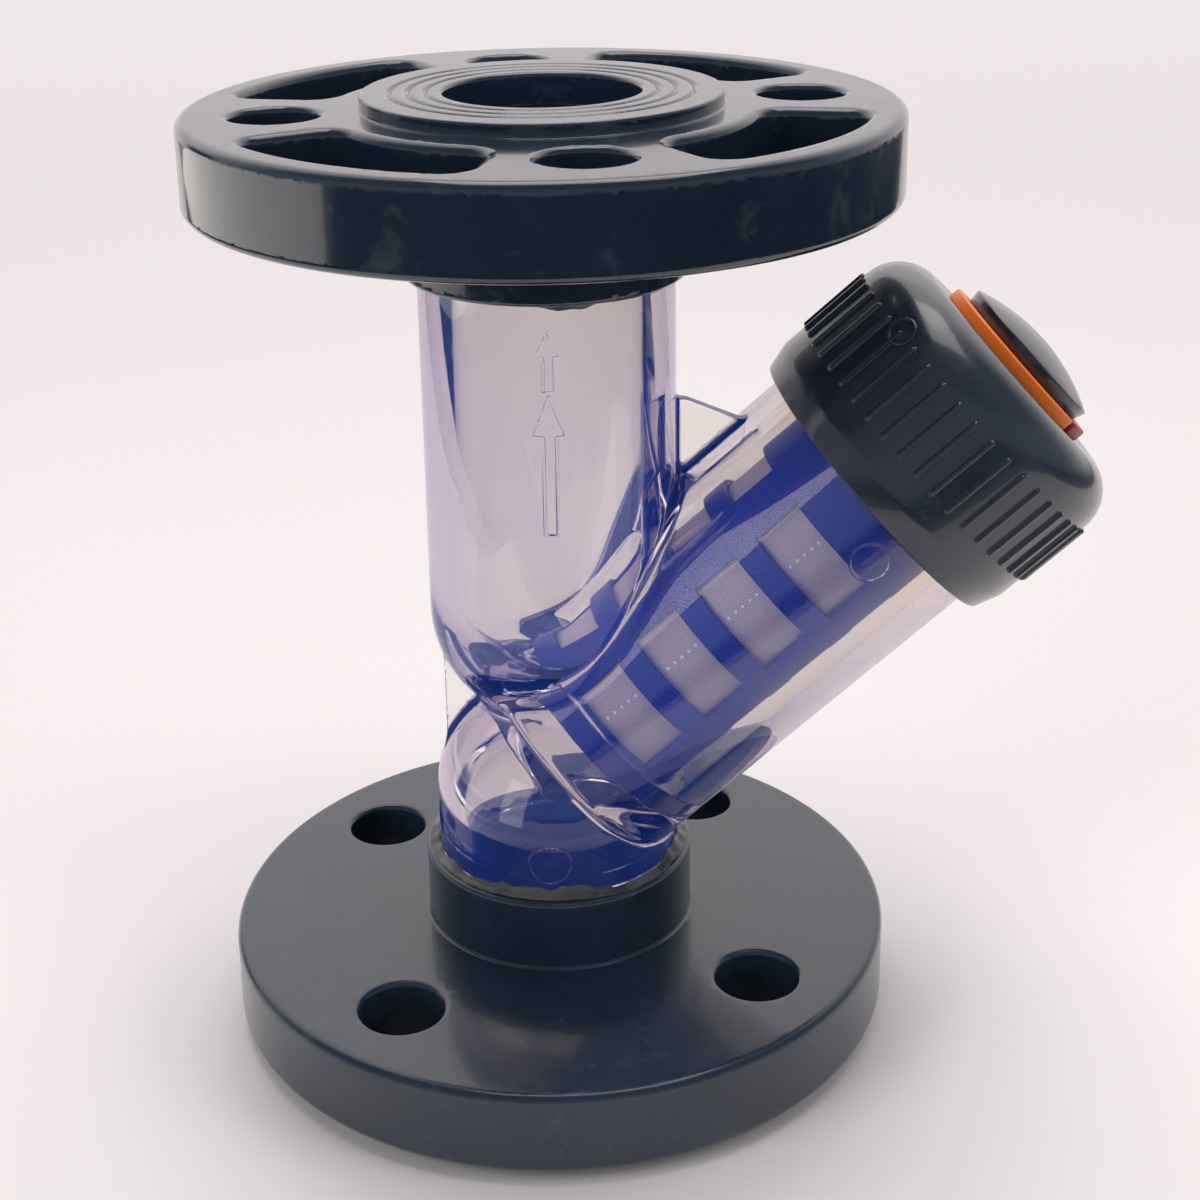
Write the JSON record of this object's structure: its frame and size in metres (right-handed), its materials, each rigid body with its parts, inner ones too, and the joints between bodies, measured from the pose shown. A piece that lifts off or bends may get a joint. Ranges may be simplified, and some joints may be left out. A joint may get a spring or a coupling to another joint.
{
  "type": "flanged basket strainer",
  "caption": "Clear plastic Y-pattern strainer with flanged ends; a branch under a ribbed union nut holds a cylindrical mesh basket that lifts out for cleaning.",
  "frame": {"origin": "centre of the inlet sealing face", "axes": "+Z along the run in the direction of flow, +X towards the side the branch leans to, XZ is the body's plane of symmetry"},
  "size_m": [0.1953, 0.15, 0.2124],
  "materials": {
    "clear_pvc": "clear, polished, slightly mauve",
    "grey_pvc": "glossy moulded, dark blue-grey",
    "nut_pvc": "satin gloss moulded, dark grey",
    "solvent_cement": "dried, smeared",
    "seal_rubber": "smooth",
    "orange_plastic": "satin",
    "blue_plastic": "moulded, deep blue",
    "mesh_steel": "fine woven wire"
  },
  "bodies": {
    "root": {"body": "clear_pvc", "inlet_flange": "grey_pvc", "outlet_flange": "grey_pvc", "inlet_cement_bead": "solvent_cement", "outlet_cement_bead": "solvent_cement"},
    "cartridge": {"bonnet": "nut_pvc", "bonnet_o_ring": "seal_rubber", "split_ring": "orange_plastic", "basket_frame": "blue_plastic", "mesh_sleeve": "mesh_steel", "mesh_seam_welds": "mesh_steel"},
    "nut": {"union_nut": "nut_pvc"}
  },
  "joints": [
    {"name": "cartridge_lift", "type": "slide", "parent": "root", "child": "cartridge", "axis": [0.749, 0, 0.6626], "range_m": [0, 0.01801]},
    {"name": "nut_turn", "type": "hinge", "parent": "cartridge", "child": "nut", "pos_m": [0, 0, 0.0607], "axis": [0.749, 0, 0.6626], "range_deg": [0, 1620]}
  ],
  "couplings": [
    {"joint": "cartridge_lift", "follows": "nut_turn", "m_per_rad": 0.00063662}
  ]
}
